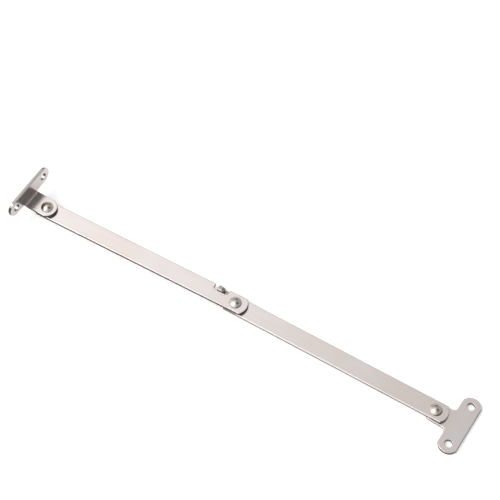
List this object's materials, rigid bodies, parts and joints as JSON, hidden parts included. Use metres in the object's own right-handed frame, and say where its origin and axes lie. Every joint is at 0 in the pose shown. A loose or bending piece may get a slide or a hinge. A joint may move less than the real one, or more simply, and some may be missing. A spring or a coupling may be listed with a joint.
{
  "type": "lid stay",
  "caption": "Folding lid stay of riveted flat steel arms between a flat T bracket and an upright angle bracket; a raised finger seats in a notch to stop it open.",
  "frame": {"origin": "midway between the flat bracket's two screw holes, on its back face", "axes": "+X from the flat bracket towards the angle bracket, +Y along the flat bracket's screw holes, +Z out of its back face, along every rivet and up through the stack of strips"},
  "size_m": [0.2831, 0.0482, 0.02],
  "materials": {
    "plated_strip": "bright nickel plate over brushed strip",
    "plated_rivet": "polished nickel plate"
  },
  "bodies": {
    "flat_end": {"flat_bracket": "plated_strip", "flat_bracket_rivet": "plated_rivet"},
    "lower_arm": {"stop_arm": "plated_strip", "middle_rivet": "plated_rivet"},
    "upper_arm": {"notched_arm": "plated_strip"},
    "angle_end": {"angle_bracket": "plated_strip", "angle_bracket_rivet": "plated_rivet"}
  },
  "joints": [
    {"name": "flat_bracket_pivot", "type": "hinge", "parent": "flat_end", "child": "lower_arm", "pos_m": [0.0147, 0, 0.004], "axis": [0, 0, 1], "continuous": true},
    {"name": "middle_pivot", "type": "hinge", "parent": "lower_arm", "child": "upper_arm", "pos_m": [0.13961, 0.0048, 0.004], "axis": [0, 0, 1], "range_deg": [0, 173.7]},
    {"name": "angle_bracket_pivot", "type": "hinge", "parent": "upper_arm", "child": "angle_end", "pos_m": [0.26437, 0.01243, 0.006], "axis": [0, 0, 1], "continuous": true}
  ]
}
